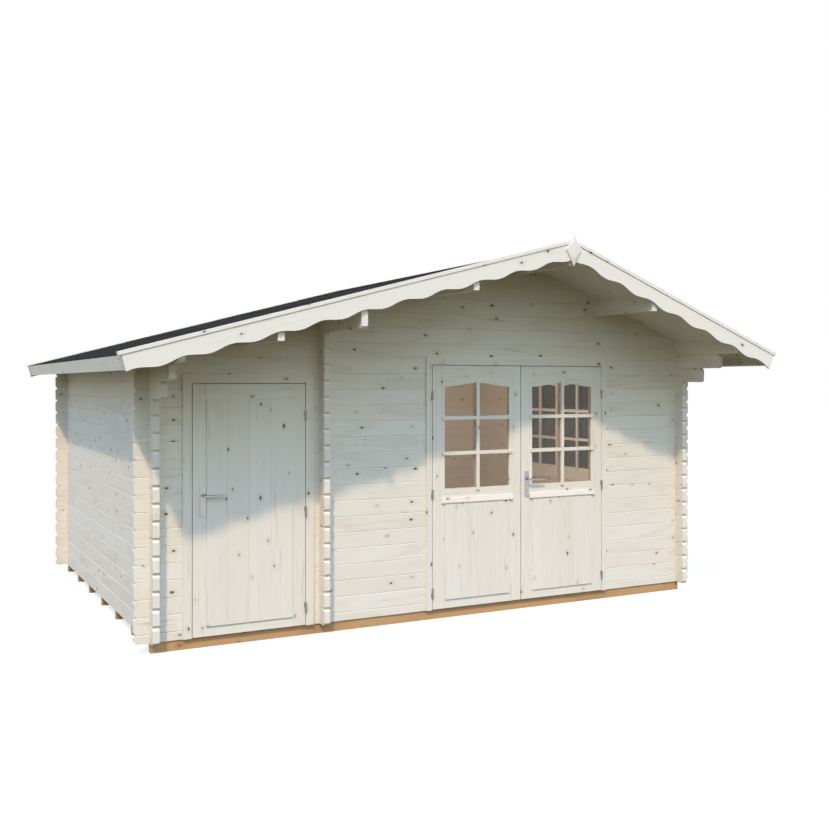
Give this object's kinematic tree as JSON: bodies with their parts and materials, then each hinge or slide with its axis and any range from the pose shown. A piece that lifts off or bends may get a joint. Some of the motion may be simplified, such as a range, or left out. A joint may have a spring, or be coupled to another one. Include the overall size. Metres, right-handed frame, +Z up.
{
  "type": "garden cabin",
  "caption": "Log garden cabin with a store room beside a main room, a plank door, a glazed double door and an off-centre ridge roof reaching forward over them.",
  "frame": {"origin": "middle of the whole outline on the ground, at the underside of the foundation beams", "axes": "+X to the right along the front, -Y out of the front with the doors, +Z up"},
  "size_m": [5.1962, 4.51, 2.8734],
  "materials": {
    "log_wood": "untreated planed spruce",
    "joinery_wood": "untreated planed spruce",
    "trim_wood": "untreated planed spruce",
    "roof_boards": "untreated planed spruce",
    "floor_wood": "untreated planed spruce",
    "beam_wood": "brown pressure-treated softwood",
    "felt": "bitumen roofing felt",
    "glass": "clear",
    "steel": "satin"
  },
  "bodies": {
    "cabin": {"foundation_beams": "beam_wood", "floor_boards": "floor_wood", "left_wall": "log_wood", "right_wall": "log_wood", "partition_wall": "log_wood", "front_wall_store": "log_wood", "front_wall_room": "log_wood", "front_gable_store": "log_wood", "front_gable_room": "log_wood", "back_wall_store": "log_wood", "back_wall_room": "log_wood", "corner_log_ends": "log_wood", "roof_purlins": "log_wood", "roof_deck_left": "roof_boards", "roof_deck_right": "roof_boards", "roof_felt": "felt", "eave_boards": "trim_wood", "front_gable_board_left": "trim_wood", "front_gable_board_right": "trim_wood", "back_gable_boards": "trim_wood", "cover_strips_left": "trim_wood", "cover_strips_right": "trim_wood", "ridge_diamond": "trim_wood", "store_door_frame": "joinery_wood", "room_door_frame": "joinery_wood", "door_hinge_pins": "steel", "window_frame": "joinery_wood", "window_casements": "joinery_wood", "window_glass": "glass"},
    "store_door_leaf": {"store_door": "joinery_wood", "store_door_panel": "joinery_wood", "store_door_hinges": "steel", "store_handle_plates": "steel"},
    "room_door_left_leaf": {"room_door_left": "joinery_wood", "room_door_left_panel": "joinery_wood", "room_door_left_glass": "glass", "room_door_left_weather_bar": "joinery_wood", "room_door_left_hinges": "steel"},
    "room_door_right_leaf": {"room_door_right": "joinery_wood", "room_door_right_panel": "joinery_wood", "room_door_right_glass": "glass", "room_door_right_weather_bar": "joinery_wood", "room_door_right_hinges": "steel", "room_handle_plates": "steel"},
    "store_handle_turn": {"store_handle": "steel"},
    "room_handle_turn": {"room_handle": "steel"}
  },
  "joints": [
    {"name": "store_door_hinge", "type": "hinge", "parent": "cabin", "child": "store_door_leaf", "pos_m": [-1.17026, -1.473, 0.072], "axis": [0, 0, 1], "range_deg": [0, 120]},
    {"name": "room_door_left_hinge", "type": "hinge", "parent": "cabin", "child": "room_door_left_leaf", "pos_m": [-0.16426, -1.473, 0.072], "axis": [0, 0, -1], "range_deg": [0, 170]},
    {"name": "room_door_right_hinge", "type": "hinge", "parent": "cabin", "child": "room_door_right_leaf", "pos_m": [1.40274, -1.473, 0.072], "axis": [0, 0, 1], "range_deg": [0, 170]},
    {"name": "store_handle_turn_joint", "type": "hinge", "parent": "store_door_leaf", "child": "store_handle_turn", "pos_m": [-1.89876, -1.465, 1.027], "axis": [0, 1, 0], "range_deg": [0, 40], "stiffness_Nm_per_rad": 1.5, "springref_deg": -34.38},
    {"name": "room_handle_turn_joint", "type": "hinge", "parent": "room_door_right_leaf", "child": "room_handle_turn", "pos_m": [0.67324, -1.465, 1.027], "axis": [0, 1, 0], "range_deg": [0, 40], "stiffness_Nm_per_rad": 1.5, "springref_deg": -34.38}
  ]
}
